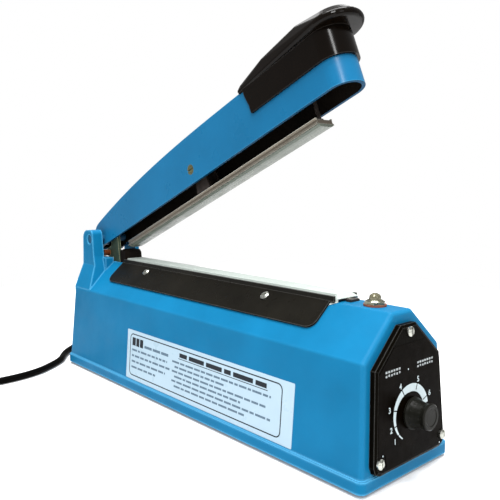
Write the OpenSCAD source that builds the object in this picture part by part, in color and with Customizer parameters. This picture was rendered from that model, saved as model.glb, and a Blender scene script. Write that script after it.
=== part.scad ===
// Hand impulse heat sealer: drafted cast body, lifting arm with a floating press bar,
// heated sealing bed, timer knob and mains lead. Millimetres, +Z up, +X towards the knob,
// the long labelled side faces -Y. The arm is drawn at its open stop.

/* [Body] */
// Length of the base rim
body_l = 320; // [300:1:340]
// Width of the base rim
body_w = 80; // [76:1:90]
// Height of the base rim
rim_h = 7; // [5:0.5:10]
// Step from the rim in to the side walls
rim_step = 1.5; // [0.5:0.5:3]
// Height of the crease between wall and sloped cheek
crease_z = 65; // [60:1:70]
// Height of the flat top above the base plane
top_z = 87.4; // [84:0.2:92]
// Half width of the flat top
top_half = 8.8; // [7:0.2:12]
// Draft of the long walls, in mm per mm of height
side_draft = 0.074; // [0.04:0.002:0.1]
// Draft of the end walls, in mm per mm of height
end_draft = 0.062; // [0.03:0.002:0.1]
// Thickness of the casting
wall = 3; // [2:0.25:4]
// How far the feet hold the rim off the table
foot_h = 2; // [1:0.5:4]

/* [Arm] */
// Angle of the arm above level at its open stop
open_angle = 22.35; // [18:0.05:26]
// Angle that the arm has left when the jaws meet
closed_angle = 1.37; // [0:0.01:2.5]
// Half width of the arm
arm_half = 12.5; // [11:0.1:13]
// Distance from the hinge to the centre of the rounded tip
arm_reach = 272; // [260:1:280]
// Thickness of the arm's walls
arm_wall = 2.2; // [1.6:0.1:3]
// Depth of the arm below the hinge axis
arm_drop = 5.5; // [4:0.25:7]
// Height of the arm above the hinge axis at its deepest place
arm_rise = 27.6; // [24:0.2:30]

/* [Jaws] */
// Length of the press bar
bar_l = 224; // [210:1:230]
// Half width of the press bar
bar_half = 7.6; // [6:0.1:8.4]
// Length of the sealing bed's rail
rail_l = 226; // [210:1:230]
// Height of the rail above the flat top
rail_h = 3.4; // [1.5:0.1:4]
// Length of the strips that clamp the cloth
strip_l = 226.5; // [200:0.5:230]

/* [Control panel] */
// How far the panel stands off the end wall
panel_t = 4; // [3:0.25:6]
// Height of the knob's axis above the base plane
dial_z = 33.5; // [30:0.5:38]
// Radius of the knob's skirt
knob_r = 8.6; // [8:0.1:10]
// Length of the knob
knob_h = 12; // [10:0.5:16]

/* [Power cord] */
// Diameter of the mains lead
cord_d = 5.5; // [5:0.5:7]
// Radius at the middle of the coil's turns
coil_r = 30; // [28:1:36]

/* [Hidden] */

fine = 64;
soft = 24;

// Body sections
wall_l = body_l / 2 - rim_step;
wall_w = body_w / 2 - rim_step;
end_angle = atan(end_draft);
side_angle = atan(side_draft);
end_x = wall_l + end_draft * rim_h;
side_y = wall_w + side_draft * rim_h;
crease_y = side_y - side_draft * crease_z;
cheek_dy = crease_y - top_half;
cheek_dz = top_z - crease_z;
cheek_len = sqrt(cheek_dy * cheek_dy + cheek_dz * cheek_dz);
cheek_angle = atan(cheek_dz / cheek_dy);
knob_reach = end_x - end_draft * dial_z + panel_t + knob_h;
body_x = -(knob_reach + end_draft * 7 - body_l / 2) / 2;

// Hinge and lugs
hinge_x = -143;
hinge_z = 106.3;
pin_r = 3;
lug_out = 26;
lug_in = 16;
lug_rear = -154;
lug_front = -138;
far_out = 18.5;
far_in = 14.6;
far_front = -136.5;
saddle_top = 90.8;
lug_top = 114;

// Arm and press bar, along the arm (u) and square to it (w), from the hinge axis
knuckle_r = 14.8;
crown_u = 185;
crown_exp = 2.4;
handle_u = 211;
pivot_u = 139.3;
pivot_w = 4.4;
pivot_r = 2;
bar_u = 29.5;
bar_low = -17.8;
pad_t = 1.8;
bar_top = -12.6;
lever_y = -7;
lever_t = 2.5;
rivet_us = [7.5, 11.5];
rivet_reach = 11.4;

// Sealing bed
cloth_t = 0.3;
cloth_end = 116.6;
tape_t = 0.2;
wire_t = 0.2;
rail_half = 7.1;
strip_t = 1.2;
strip_s = 13;
strip_x = -1.25;
strip_flange = 3.4;
screw_s = 27.8;
clamp_xs = [-72, 63];
rail_screw_xs = [-92, -30, 32, 94];
slot_x = [-145.2, -122.8];
slot_y = [-8.2, -3.4];

// Panel outline, up the end wall: half width and height of each corner
panel_pts = [[27.5, 7.2], [31, 8.8], [32.4, 12.4], [29.2, 61], [6.8, 81]];
panel_bevel = 1.6;
panel_skin = 2;
panel_holes = [[0, 77], [-28.6, 14.2], [28.6, 14.2]];

// Base plate fixings
boss_xs = [-140, 140];
boss_y = 31.5;
foot_xy = [135, 24];
plate_t = 1.5;
plate_z = 1;

// Inner parts
core_x = 10;
core_l = 66;
core_w = 32;
core_h = 55;
board_x = 84;
board_l = 54;
board_w = 46;
board_z = 12;
switch_x = -151.2;
switch_low = 40;
leaf_l = 26;
leaf_angle = 2.8;
anchor_x = -82;
lamp_x = 135.5;

// Mains lead: where it leaves the rear wall, then its route on the table
exit_y = 24;
exit_z = 15;
relief_l = 9;
relief_bend = 26;
relief_arc = 30;
lay = cord_d / 2;
cord_route = [[-196.5, 13.5, 14.5], [-201.5, 4, 10.5], [-202, -7, 6.8], [-198.5, -18, 4.2],
    [-191, -29.5, 3], [-181.5, -37.5, lay], [-172, -44, lay], [-164.5, -52, lay], [-158, -61, lay],
    [-151.5, -72, lay], [-146.5, -85, lay], [-144.5, -98, lay], [-144.5, -110, lay], [-145, -122, lay],
    [-145.5, -134, lay], [-145.5, -140, lay]];
coil_xy = [-184, -140];
coil_half = 2 * cord_d;
plug_at = [-196, -178, 7];
plug_turn = 180;
tie_t = 0.8;

module at_body() {
    translate([body_x, 0, foot_h]) children();
}

// Local frame of an end wall: x out of the wall, z up the wall
module on_end(turn = 0) {
    at_body() rotate([0, 0, turn]) translate([end_x, 0, 0]) rotate([0, -end_angle, 0]) children();
}

// Local frame of a sloped cheek: y up the slope from the crease, z out of it
module on_cheek(sy = -1) {
    at_body() mirror([0, sy > 0 ? 1 : 0, 0]) translate([0, -crease_y, crease_z])
        rotate([cheek_angle, 0, 0]) children();
}

// Local frame of the arm: x along the arm, z square to it, origin on the hinge axis
module on_arm(angle = open_angle) {
    at_body() translate([hinge_x, 0, hinge_z]) rotate([0, -angle, 0]) children();
}

// A cylinder whose axis runs along Y, centred on y = 0
module cross_pin(r, l) {
    rotate([90, 0, 0]) cylinder(r = r, h = l, center = true, $fn = fine);
}

module ring(r_out, r_in, h) {
    difference() {
        cylinder(r = r_out, h = h, $fn = fine);
        translate([0, 0, -1]) cylinder(r = r_in, h = h + 2, $fn = fine);
    }
}

module round_rect(l, w, r) {
    union() {
        square([l - 2 * r, w], center = true);
        square([l, w - 2 * r], center = true);
        for (sx = [-1, 1], sy = [-1, 1])
            translate([sx * (l / 2 - r), sy * (w / 2 - r)]) circle(r = r, $fn = fine);
    }
}

// Pan-head screw, head upwards, seat at z = 0
module pan_screw(head_r, head_h, shank_r, shank_l) {
    union() {
        difference() {
            union() {
                cylinder(r = head_r, h = head_h * 0.55, $fn = fine);
                translate([0, 0, head_h * 0.55])
                    cylinder(r1 = head_r, r2 = head_r * 0.6, h = head_h * 0.45, $fn = fine);
            }
            translate([-head_r - 1, -0.4, head_h * 0.55]) cube([2 * head_r + 2, 0.8, head_h]);
        }
        translate([0, 0, -shank_l]) cylinder(r = shank_r, h = shank_l, $fn = fine);
    }
}

function half_l(z, t) = wall_l - end_draft * (z - rim_h) - t;
function half_w(z, t) = wall_w - side_draft * (z - rim_h) - t;

// Rounded, drafted body form up to the flat top, inset by t
module body_form(t, r, low) {
    d = r + t;
    slope = cheek_dz / cheek_dy;
    slant = sqrt(1 + slope * slope);
    in_y = d * (sqrt(1 + side_draft * side_draft) - side_draft * slant) / (1 - side_draft * slope);
    mid_z = crease_z + in_y * slope - d * slant;
    hull() {
        for (sx = [-1, 1], sy = [-1, 1]) {
            translate([sx * (half_l(low, t) - r), sy * (half_w(low, t) - r), low])
                cylinder(r = r, h = 0.01, $fn = soft);
            translate([sx * (half_l(mid_z, t) - r), sy * (crease_y - in_y), mid_z])
                sphere(r = r, $fn = soft);
            translate([sx * (half_l(top_z - d, t) - r), sy * (top_half - d * (slant - 1) / slope),
                top_z - d]) sphere(r = r, $fn = soft);
        }
    }
}

// Side view of a hinge lug and the buttress under it
module lug_side(front) {
    rear_r = 7;
    front_r = 4;
    union() {
        polygon([[lug_rear - 1.2, 56], [lug_rear, 92], [lug_rear, lug_top - rear_r],
            [lug_rear + rear_r, lug_top], [front - front_r, lug_top],
            [front, lug_top - front_r], [front + 2, 92], [front + 9, 66], [front + 9, 56]]);
        translate([lug_rear + rear_r, lug_top - rear_r]) circle(r = rear_r, $fn = fine);
        translate([front - front_r, lug_top - front_r]) circle(r = front_r, $fn = fine);
    }
}

// End view of a lug on the -Y side: outer face, cheek side and inner face
module lug_end(out, inner) {
    polygon([[-crease_y + 0.6, 60], [-crease_y + 0.3, crease_z + 0.8], [-out, 85],
        [-out + 0.6, lug_top + 1], [-inner, lug_top + 1], [-inner, 60]]);
}

module lug(out, inner, front) {
    intersection() {
        rotate([90, 0, 0]) linear_extrude(height = 90, center = true) lug_side(front);
        translate([-170, 0, 0]) rotate([90, 0, 90]) linear_extrude(height = 70) lug_end(out, inner);
    }
}

module body_outer() {
    body_form(0, 2.5, 3);
    difference() {
        linear_extrude(height = rim_h) round_rect(body_l, body_w, 4);
        translate([0, 0, rim_h]) difference() {
            cube([body_l + 2, body_w + 2, 1.2], center = true);
            linear_extrude(height = 4, center = true) round_rect(body_l - 1.2, body_w - 1.2, 3.4);
        }
    }
    lug(lug_out, lug_in, lug_front);
    mirror([0, 1, 0]) lug(far_out, far_in, far_front);
    // raised seat beside the lever's slot
    translate([lug_rear + 8, -lug_in - 1, 78]) cube([14.5, 7.6, saddle_top - 78]);
}

// Outline grown outwards, or shrunk if grow is negative
module panel_outline(grow) {
    p = panel_pts;
    half = [[p[0][0] + grow * 0.5, p[0][1] - grow], [p[1][0] + grow * 0.8, p[1][1] - grow * 0.8],
        [p[2][0] + grow, p[2][1] - grow * 0.4], [p[3][0] + grow, p[3][1] + grow * 0.4],
        [p[4][0] + grow * 0.4, p[4][1] + grow]];
    polygon(concat(half, [for (i = [4 : -1 : 0]) [-half[i][0], half[i][1]]]));
}

// Panel outline as a slab from x = from to x = to in the end wall's frame
module panel_slab(grow, from, to) {
    translate([from, 0, 0]) rotate([90, 0, 90]) linear_extrude(height = to - from)
        panel_outline(grow);
}

module body_shell() color([0.12, 0.5, 0.75]) {
    difference() {
        at_body() union() {
            difference() {
                body_outer();
                body_form(wall, 1.5, -1);
                translate([0, 0, -0.01]) linear_extrude(height = 4)
                    round_rect(2 * (half_l(3, wall)), 2 * half_w(3, wall), 2);
            }
            for (x = boss_xs, sy = [-1, 1]) translate([x, sy * boss_y, plate_z + plate_t])
                cylinder(r = 4.5, h = 34, $fn = fine);
            for (x = rail_screw_xs) translate([x, 0, top_z - wall - 4])
                cylinder(r = 4, h = 4.5, $fn = fine);
        }
        // opening and screw holes behind the control panel
        on_end() panel_slab(-8, -8, 1);
        for (h = panel_holes) on_end() translate([-8, h[0], h[1]]) rotate([0, 90, 0])
            cylinder(r = 1.5, h = 9, $fn = fine);
        // hinge pin bore through both lugs, and the recesses at the pin's ends
        at_body() translate([hinge_x, 0, hinge_z]) {
            cross_pin(pin_r, 80);
            for (y = [-lug_out - 2.4, far_out + 2.4]) translate([0, y, 0]) cross_pin(3.9, 9);
        }
        // slot for the lift lever
        at_body() translate([slot_x[0], slot_y[0], top_z - 6])
            cube([slot_x[1] - slot_x[0], slot_y[1] - slot_y[0], 10]);
        // holes for bed screws, terminals, lamp and clamp screws
        at_body() {
            for (x = rail_screw_xs) translate([x, 0, top_z - 12])
                cylinder(r = 1.5, h = 14, $fn = fine);
            for (x = [-118.5, 119.5]) translate([x, 3, top_z - 12])
                cylinder(r = 2, h = 14, $fn = fine);
            translate([lamp_x, 0, top_z - 12]) cylinder(r = 3.5, h = 14, $fn = fine);
        }
        for (x = clamp_xs, sy = [-1, 1]) on_cheek(sy) translate([x, screw_s, -8])
            cylinder(r = 1.5, h = 10, $fn = fine);
        // base plate screws, and the lead's way in through the rear wall
        at_body() for (x = boss_xs, sy = [-1, 1]) translate([x, sy * boss_y, 0])
            cylinder(r = 1.5, h = 22, $fn = fine);
        on_end(180) translate([-6, -exit_y, exit_z]) rotate([0, 90, 0])
            cylinder(r = 5, h = 10, $fn = fine);
    }
}

module bottom_plate() color([0.7, 0.71, 0.72]) at_body() difference() {
    translate([0, 0, plate_z]) linear_extrude(height = plate_t)
        round_rect(2 * (half_l(3, wall) - 0.4), 2 * (half_w(3, wall) - 0.4), 2);
    for (x = boss_xs, sy = [-1, 1]) translate([x, sy * boss_y, 0])
        cylinder(r = 1.5, h = 5, $fn = fine);
    for (x = [core_x - 7.5, core_x + core_l + 7.5]) translate([x, 0, 0])
        cylinder(r = 1.6, h = 5, $fn = fine);
    // cooling slots under the transformer
    for (i = [0 : 5]) translate([core_x + 9 + 9.6 * i, 0, 0])
        linear_extrude(height = 5) round_rect(3, 24, 1.4);
}

module bottom_screws() color([0.75, 0.75, 0.77]) at_body()
    for (x = boss_xs, sy = [-1, 1]) translate([x, sy * boss_y, plate_z]) mirror([0, 0, 1])
        pan_screw(2.8, 1.6, 1.5, 14);

module rubber_feet() color([0.08, 0.08, 0.08]) at_body()
    for (sx = [-1, 1], sy = [-1, 1]) translate([sx * foot_xy[0] * 0.86, sy * foot_xy[1], -foot_h])
        cylinder(r1 = 7, r2 = 8, h = foot_h + plate_z, $fn = fine);

module front_panel() color([0.05, 0.05, 0.05]) on_end() difference() {
    hull() {
        panel_slab(0, 0, panel_t - 1);
        panel_slab(-panel_bevel, panel_t - 0.1, panel_t);
    }
    hull() {
        panel_slab(-panel_skin, -1, 0.5);
        panel_slab(-panel_skin - 1, panel_t - panel_skin - 0.1, panel_t - panel_skin);
    }
    for (h = panel_holes) translate([-1, h[0], h[1]]) rotate([0, 90, 0])
        cylinder(r = 1.5, h = 10, $fn = fine);
    translate([-1, 0, dial_z]) rotate([0, 90, 0]) cylinder(r = 3.5, h = 10, $fn = fine);
}

module panel_screws() color([0.8, 0.8, 0.78])
    for (h = panel_holes) on_end() translate([panel_t, h[0], h[1]]) rotate([0, 90, 0])
        pan_screw(2.7, 1.8, 1.5, 11);

module dial_label() color([0.07, 0.06, 0.06]) on_end() difference() {
    translate([panel_t, 0, 0]) rotate([90, 0, 90]) linear_extrude(height = 0.2)
        polygon([[-23, 10.5], [23, 10.5], [24, 17.5], [30, 18.5], [27.6, 58.6], [14.2, 71],
            [-14.2, 71], [-27.6, 58.6], [-30, 18.5], [-24, 17.5]]);
    translate([0, 0, dial_z]) rotate([0, 90, 0]) cylinder(r = 3.5, h = 10, $fn = fine);
}

// Knob: a skirt that tapers to the grip, with flutes down the taper
module timer_knob() color([0.06, 0.06, 0.06]) on_end()
    translate([panel_t + 0.5, 0, dial_z]) rotate([0, 90, 0]) difference() {
        rotate_extrude($fn = fine) polygon([[0, 0], [knob_r - 0.4, 0], [knob_r, 0.4], [knob_r, 1.4],
            [knob_r - 0.6, 2.2], [7.6, 3.4], [7.1, 5], [6.8, 6.6], [6.6, 8.2], [6.7, knob_h - 2.6],
            [7, knob_h - 1.6], [7, knob_h - 1], [6.5, knob_h - 0.5], [5, knob_h - 0.5],
            [4.6, knob_h - 0.8], [0, knob_h - 0.8]]);
        translate([0, 0, -1]) cylinder(r = 3, h = 9, $fn = fine);
        translate([0, 0, -1]) cylinder(r = 6.4, h = 2.6, $fn = fine);
        for (i = [0 : 11]) rotate([0, 0, 30 * i]) translate([7.9, 0, 3.4]) rotate([0, -11, 0])
            cylinder(r = 0.5, h = 5, $fn = 24);
    }

module knob_shaft() color([0.75, 0.75, 0.77]) on_end() translate([-7, 0, dial_z])
    rotate([0, 90, 0]) cylinder(r = 2.95, h = panel_t + 0.5 + 7 + 8, $fn = fine);

module potentiometer() color([0.25, 0.25, 0.27]) on_end() translate([0, 0, dial_z])
    rotate([0, 90, 0]) difference() {
        union() {
            translate([0, 0, -12]) cylinder(r = 12, h = 10, $fn = fine);
            translate([0, 0, -2]) cylinder(r = 8, h = panel_t - panel_skin + 2, $fn = fine);
            cylinder(r = 3.5, h = panel_t + 0.2, $fn = fine);
            for (i = [-1 : 1]) translate([9, 6 * i - 1, -9]) cube([11, 2, 0.8]);
        }
        translate([0, 0, -8]) cylinder(r = 3, h = 20, $fn = fine);
    }

module potentiometer_nut() color([0.8, 0.8, 0.8]) on_end() translate([panel_t + 0.2, 0, dial_z])
    rotate([0, 90, 0]) ring(5.4, 3.05, 1.6);

module lamp_gasket() color([0.35, 0.2, 0.12]) at_body() translate([lamp_x, 0, top_z])
    ring(6.4, 3.5, 1);

module lamp_bezel() color([0.7, 0.68, 0.6]) at_body() translate([lamp_x, 0, top_z]) difference() {
    union() {
        translate([0, 0, 1]) cylinder(r = 6.2, h = 1.5, $fn = 6);
        translate([0, 0, 2.5]) cylinder(r1 = 5.1, r2 = 4.2, h = 0.9, $fn = fine);
        translate([0, 0, -9]) cylinder(r = 3.5, h = 11, $fn = fine);
    }
    translate([0, 0, -10]) cylinder(r = 2.8, h = 20, $fn = fine);
}

module lamp_lens() color([0.8, 0.45, 0.2]) at_body() translate([lamp_x, 0, top_z])
    rotate_extrude($fn = fine) union() {
        translate([0, -8]) square([2.8, 11.4]);
        translate([0, 3.4]) polygon([[0, 0], [3.3, 0], [3.3, 1.4], [3.1, 2.2], [2.4, 3], [1.3, 3.6], [0, 3.8]]);
    }

module seal_rail() color([0.75, 0.76, 0.77]) at_body() difference() {
    translate([0, 0, top_z]) rotate([90, 0, 90]) linear_extrude(height = rail_l, center = true)
        polygon([[-rail_half, 0], [rail_half, 0], [rail_half - 0.4, rail_h - 0.4],
            [rail_half - 0.8, rail_h], [-rail_half + 0.8, rail_h], [-rail_half + 0.4, rail_h - 0.4]]);
    for (x = rail_screw_xs) translate([x, 0, top_z - 1]) {
        cylinder(r = 1.5, h = 5, $fn = fine);
        translate([0, 0, 1.6]) cylinder(r = 3, h = 5, $fn = fine);
    }
}

module rail_screws() color([0.75, 0.75, 0.72]) at_body() for (x = rail_screw_xs)
    translate([x, 0, top_z]) {
        translate([0, 0, 0.6]) cylinder(r = 3, h = rail_h - 0.6, $fn = fine);
        translate([0, 0, -11]) cylinder(r = 1.5, h = 11.6, $fn = fine);
    }

module rail_tape() color([0.72, 0.6, 0.4]) at_body() translate([0, 0, top_z + rail_h])
    linear_extrude(height = tape_t) square([rail_l, 10], center = true);

// Flat nichrome strip, turned down at each end to its terminal
module heating_wire() color([0.5, 0.48, 0.45]) at_body() {
    z = top_z + rail_h + tape_t;
    end = rail_l / 2 + 0.4;
    translate([-end, -1.5, z]) cube([2 * end, 3, wire_t]);
    for (x = [-end, end - wire_t]) translate([x, -1.5, top_z + 1.4]) cube([wire_t, 3, z - top_z - 1.2]);
    for (x = [-119, end - wire_t]) translate([x, -1.5, top_z + 1.4]) cube([5.8, 3, wire_t]);
}

// Glass-fibre cloth over the wire: down both cheeks under the clamp strips
module ptfe_cloth() color([0.88, 0.87, 0.82]) {
    h = rail_h + tape_t + wire_t;
    on_top() rotate([90, 0, 90]) translate([0, 0, -112.5]) linear_extrude(height = 226.3)
        polygon([[-top_half + 0.05, 0.02], [-rail_half - 0.1, 1.2], [-rail_half + 0.5, h],
            [rail_half - 0.5, h], [rail_half + 0.1, 1.2], [top_half - 0.05, 0.02],
            [top_half + 0.2, 0.23], [rail_half + 0.35, 1.4], [rail_half - 0.3, h + cloth_t],
            [-rail_half + 0.3, h + cloth_t], [-rail_half - 0.35, 1.4], [-top_half - 0.2, 0.23]]);
    // end that slopes down over the terminal
    on_top() {
        hull() {
            translate([113.6, -rail_half + 0.3, h]) cube([0.2, 2 * rail_half - 0.6, cloth_t]);
            translate([cloth_end, -top_half, 1.7]) cube([0.2, 2 * top_half, cloth_t]);
        }
        for (sy = [0, 1]) mirror([0, sy, 0]) hull() {
            translate([113.5, -rail_half - 0.3, 1.4]) cube([0.2, 0.3, h - 1.4]);
            translate([113.5, -top_half - 0.2, 0.03]) cube([0.2, 0.3, 0.6]);
            translate([cloth_end, -top_half - 0.2, 0.03]) cube([0.2, 0.3, 1.9]);
        }
    }
    for (sy = [-1, 1]) on_cheek(sy) linear_extrude(height = cloth_t) difference() {
        polygon([[-112.5, 17], [108, 17], [109, 26], [112, 31], [cloth_end + 0.2, cheek_len + 0.1],
            [-112.5, cheek_len + 0.1]]);
        for (x = clamp_xs) translate([x, screw_s]) circle(r = 1.5, $fn = fine);
    }
}

module on_top() {
    at_body() translate([0, 0, top_z]) children();
}

// Steel strip on a cheek: two lower corners rounded, upper edge folded up beside the rail
module clamp_strip(sy) {
    w = cheek_len - strip_s - 0.5;
    r = 6;
    on_cheek(sy) translate([strip_x, strip_s, cloth_t]) difference() {
        linear_extrude(height = strip_t) union() {
            translate([-strip_l / 2, r]) square([strip_l, w - r]);
            translate([-strip_l / 2 + r, 0]) square([strip_l - 2 * r, w]);
            for (sx = [-1, 1]) translate([sx * (strip_l / 2 - r), r]) circle(r = r, $fn = fine);
        }
        for (x = clamp_xs) translate([x - strip_x, screw_s - strip_s, -1])
            cylinder(r = 1.5, h = 4, $fn = fine);
    }
    h = top_half;
    on_top() mirror([0, sy > 0 ? 1 : 0, 0]) translate([-113, 0, 0]) rotate([90, 0, 90])
        linear_extrude(height = 228) polygon([[-h - 1.15, -0.45], [-h - 0.65, -0.08], [-h - 0.3, 0.22],
            [-h - 0.3, strip_flange], [-h - 1.5, strip_flange], [-h - 1.5, 0.6], [-h - 1.8, 0.2]]);
}

module clamp_strip_near() color([0.1, 0.09, 0.08]) clamp_strip(-1);
module clamp_strip_far() color([0.1, 0.09, 0.08]) clamp_strip(1);

module clamp_screws() color([0.8, 0.8, 0.8]) for (x = clamp_xs, sy = [-1, 1])
    on_cheek(sy) translate([x, screw_s, cloth_t + strip_t]) rotate([0, 0, 35])
        pan_screw(3, 1.7, 1.5, 8);

// Brass post, its lug under the bent end of the wire
module terminal(x, dir) {
    at_body() translate([x, 0, top_z]) difference() {
        union() {
            translate([-dir * 0.3 - 2, -3, 0]) cube([4, 8, 1.4]);
            translate([0, 3, -11]) cylinder(r = 2, h = 11, $fn = fine);
        }
        translate([0, 3, -12]) cylinder(r = 0.8, h = 8, $fn = fine);
    }
}

module front_terminal() color([0.75, 0.6, 0.25]) terminal(119.5, 1);
module rear_terminal() color([0.75, 0.6, 0.25]) terminal(-118.5, -1);

// Moulded cover over the rear terminal, narrow beside the lever's slot
module terminal_cover() color([0.07, 0.07, 0.07]) on_top() difference() {
    intersection() {
        translate([-128, -8, 0]) rotate([90, 0, 0]) mirror([0, 0, 1]) linear_extrude(height = 16)
            polygon([[0, 0], [14.4, 0], [13, 8.4], [11, 10.4], [1.5, 10.4], [0, 8.9]]);
        linear_extrude(height = 20) polygon([[-130, -2.8], [-122.2, -2.8], [-122.2, -8], [-110, -8],
            [-110, 8], [-130, 8]]);
    }
    translate([-121.6, -4, -1]) cube([7, 10.2, rail_h + 2.6]);
    translate([-116, -2, -1]) cube([4, 4, 3]);
}

module transformer_core() color([0.35, 0.34, 0.33]) at_body() translate([core_x, 0, plate_z + plate_t])
    difference() {
        translate([0, -core_w / 2, 0]) cube([core_l, core_w, core_h]);
        for (x = [11, core_l - 22]) translate([x, -core_w / 2 - 1, 11]) cube([11, core_w + 2, core_h - 22]);
    }

module transformer_coil() color([0.75, 0.4, 0.15]) at_body()
    translate([core_x + core_l / 2, 0, plate_z + plate_t + core_h / 2]) difference() {
        linear_extrude(height = core_h - 22.6, center = true) round_rect(43.4, 52, 3);
        cube([22.2, core_w + 0.2, core_h], center = true);
    }

module transformer_strap() color([0.6, 0.6, 0.6]) at_body() translate([core_x, 0, plate_z + plate_t])
    difference() {
        union() {
            translate([-1.5, -8, 0]) cube([1.5, 16, core_h + 1.5]);
            translate([core_l, -8, 0]) cube([1.5, 16, core_h + 1.5]);
            translate([-1.5, -8, core_h]) cube([core_l + 3, 16, 1.5]);
            for (x = [-14, core_l]) translate([x, -8, 0]) cube([14, 16, 1.5]);
        }
        for (x = [-7.5, core_l + 7.5]) translate([x, 0, -1]) cylinder(r = 1.6, h = 4, $fn = fine);
    }

module circuit_board() color([0.1, 0.4, 0.2]) at_body() translate([board_x, -board_w / 2, board_z])
    difference() {
        cube([board_l, board_w, 1.6]);
        for (x = [4, board_l - 4], y = [4, board_w - 4]) translate([x, y, -1])
            cylinder(r = 1.5, h = 4, $fn = fine);
    }

module board_posts() color([0.85, 0.85, 0.8]) at_body()
    for (x = [4, board_l - 4], y = [4, board_w - 4])
        translate([board_x + x, -board_w / 2 + y, plate_z + plate_t]) {
            cylinder(r = 3, h = board_z - plate_z - plate_t, $fn = fine);
            cylinder(r = 1.5, h = board_z - plate_z - plate_t + 1.6, $fn = fine);
        }

module relay() color([0.15, 0.25, 0.5]) at_body()
    translate([board_x + 9, -16, board_z + 1.6]) linear_extrude(height = 15.5)
        translate([9.5, 7.75]) round_rect(19, 15.5, 0.8);

module capacitor() color([0.1, 0.15, 0.3]) at_body() for (p = [[38, 8, 5, 12], [20, 11, 4, 9], [38, -8, 3, 7]])
    translate([board_x + p[0], p[1], board_z + 1.6]) cylinder(r = p[2], h = p[3], $fn = fine);

module mains_block() color([0.85, 0.84, 0.78]) at_body() translate([-118, 6, plate_z + plate_t])
    difference() {
        cube([26, 18, 13]);
        for (i = [0 : 2]) translate([5 + 8 * i, 9, 4]) cylinder(r = 2.2, h = 20, $fn = fine);
    }

// Snap switch with two ears that carry the leaf's pin
module microswitch() color([0.1, 0.1, 0.1]) at_body() translate([switch_x, -8.4, switch_low])
    difference() {
        union() {
            cube([6, 6, 22]);
            for (y = [0, 5.3]) translate([5, y, 1.5]) cube([4.4, 0.7, 5]);
        }
        for (z = [10, 18]) translate([3, -1, z]) rotate([-90, 0, 0]) cylinder(r = 1.2, h = 8, $fn = fine);
        translate([8.2, 3, 4]) cross_pin(0.85, 8);
    }

module switch_bracket() color([0.7, 0.7, 0.7]) at_body()
    translate([switch_x, -2.4, plate_z + plate_t]) difference() {
        union() {
            cube([9, 1.5, switch_low + 20]);
            cube([9, 12, 1.5]);
        }
        for (z = [10, 18]) translate([3, -1, switch_low - plate_z - plate_t + z]) rotate([-90, 0, 0])
            cylinder(r = 1.2, h = 4, $fn = fine);
    }

// Leaf that the lift lever presses as the arm closes; it turns about its lower end
module switch_lever() color([0.8, 0.8, 0.82]) at_body()
    translate([switch_x + 8.2, -5.4, switch_low + 4]) rotate([0, leaf_angle, 0]) union() {
        cross_pin(0.8, 5.8);
        translate([-0.3, -2, 0]) cube([0.6, 4, leaf_l]);
        translate([0, 0, leaf_l]) cross_pin(1.3, 4);
    }

module spring_anchor() color([0.7, 0.68, 0.6]) at_body() difference() {
    union() {
        translate([anchor_x - 4, -6.5, top_z - wall - 1.55]) cube([9, 13, 1.5]);
        translate([anchor_x - 4, -6.5, 64]) cube([9, 1.5, top_z - wall - 64.5]);
    }
    translate([anchor_x - 0.8, -5.75, 68]) cross_pin(1.2, 6);
}

// Extension spring, drawn as the tube that its coils fill, with a hook at each end
module lift_spring() color([0.7, 0.7, 0.72]) at_body() {
    from = [hinge_x + 21.4, -5.75, 74.6];
    to = [anchor_x - 0.8, -5.75, 68];
    span = norm(to - from);
    tilt = atan2(to[2] - from[2], to[0] - from[0]);
    translate(from) rotate([0, -tilt, 0]) rotate([0, 90, 0]) {
        translate([0, 0, 6]) ring(3.4, 2.4, span - 12);
        translate([0, 0, 2]) cylinder(r = 0.6, h = 4.2, $fn = fine);
        translate([0, 0, span - 6.2]) cylinder(r = 0.6, h = 2.8, $fn = fine);
        for (z = [6, span - 7]) translate([0, 0, z]) cylinder(r = 2.5, h = 1, $fn = fine);
    }
}

module hinge_pin() color([0.75, 0.74, 0.72]) at_body()
    translate([hinge_x, (far_out - lug_out) / 2, hinge_z]) cross_pin(pin_r, lug_out + far_out - 2.6);

module hinge_clips() color([0.4, 0.4, 0.4]) at_body() translate([hinge_x, 0, hinge_z])
    for (y = [-lug_out + 2.1, far_out - 1.5]) translate([0, y, 0]) rotate([90, 0, 0])
        ring(3.7, pin_r, 0.6);

// Pin in the lift lever's ear
module spring_pin() color([0.35, 0.2, 0.1]) on_arm() translate([-4.6, lever_y - 0.6, -11.5])
    cross_pin(2.6, 9.4);

module info_label() color([0.78, 0.85, 0.9]) at_body() translate([0, -side_y, 0])
    rotate([side_angle * -1, 0, 0]) translate([22.5, 0, 26.2]) rotate([90, 0, 0])
        linear_extrude(height = 0.2) round_rect(175, 37, 0.8);

function crown(u, t) = arm_rise - t - 13 * pow(max(0, crown_u - u) / 188, crown_exp);

// Side view of the arm, inset by t: a rounded knuckle, then a crown that rises to a flat
module arm_side(t, low) {
    r = knuckle_r - t;
    heel = [for (a = [205 : -10 : 105]) [r * cos(a), r * sin(a)]];
    top = [for (i = [0 : 24]) let (u = 2 + (crown_u - 2) * i / 24) [u, crown(u, t)]];
    polygon(concat([[-r * cos(25), low]], heel, top, [[arm_reach + 40, arm_rise - t],
        [arm_reach + 40, low]]));
}

// Arm form: the side view cut to a plan with a round tip
module arm_form(t, low) {
    intersection() {
        rotate([90, 0, 0]) linear_extrude(height = 60, center = true) arm_side(t, low);
        translate([0, 0, -60]) linear_extrude(height = 120) union() {
            translate([-40, -arm_half + t]) square([arm_reach + 40, 2 * (arm_half - t)]);
            translate([arm_reach, 0]) circle(r = arm_half - t, $fn = 96);
        }
    }
}

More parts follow.
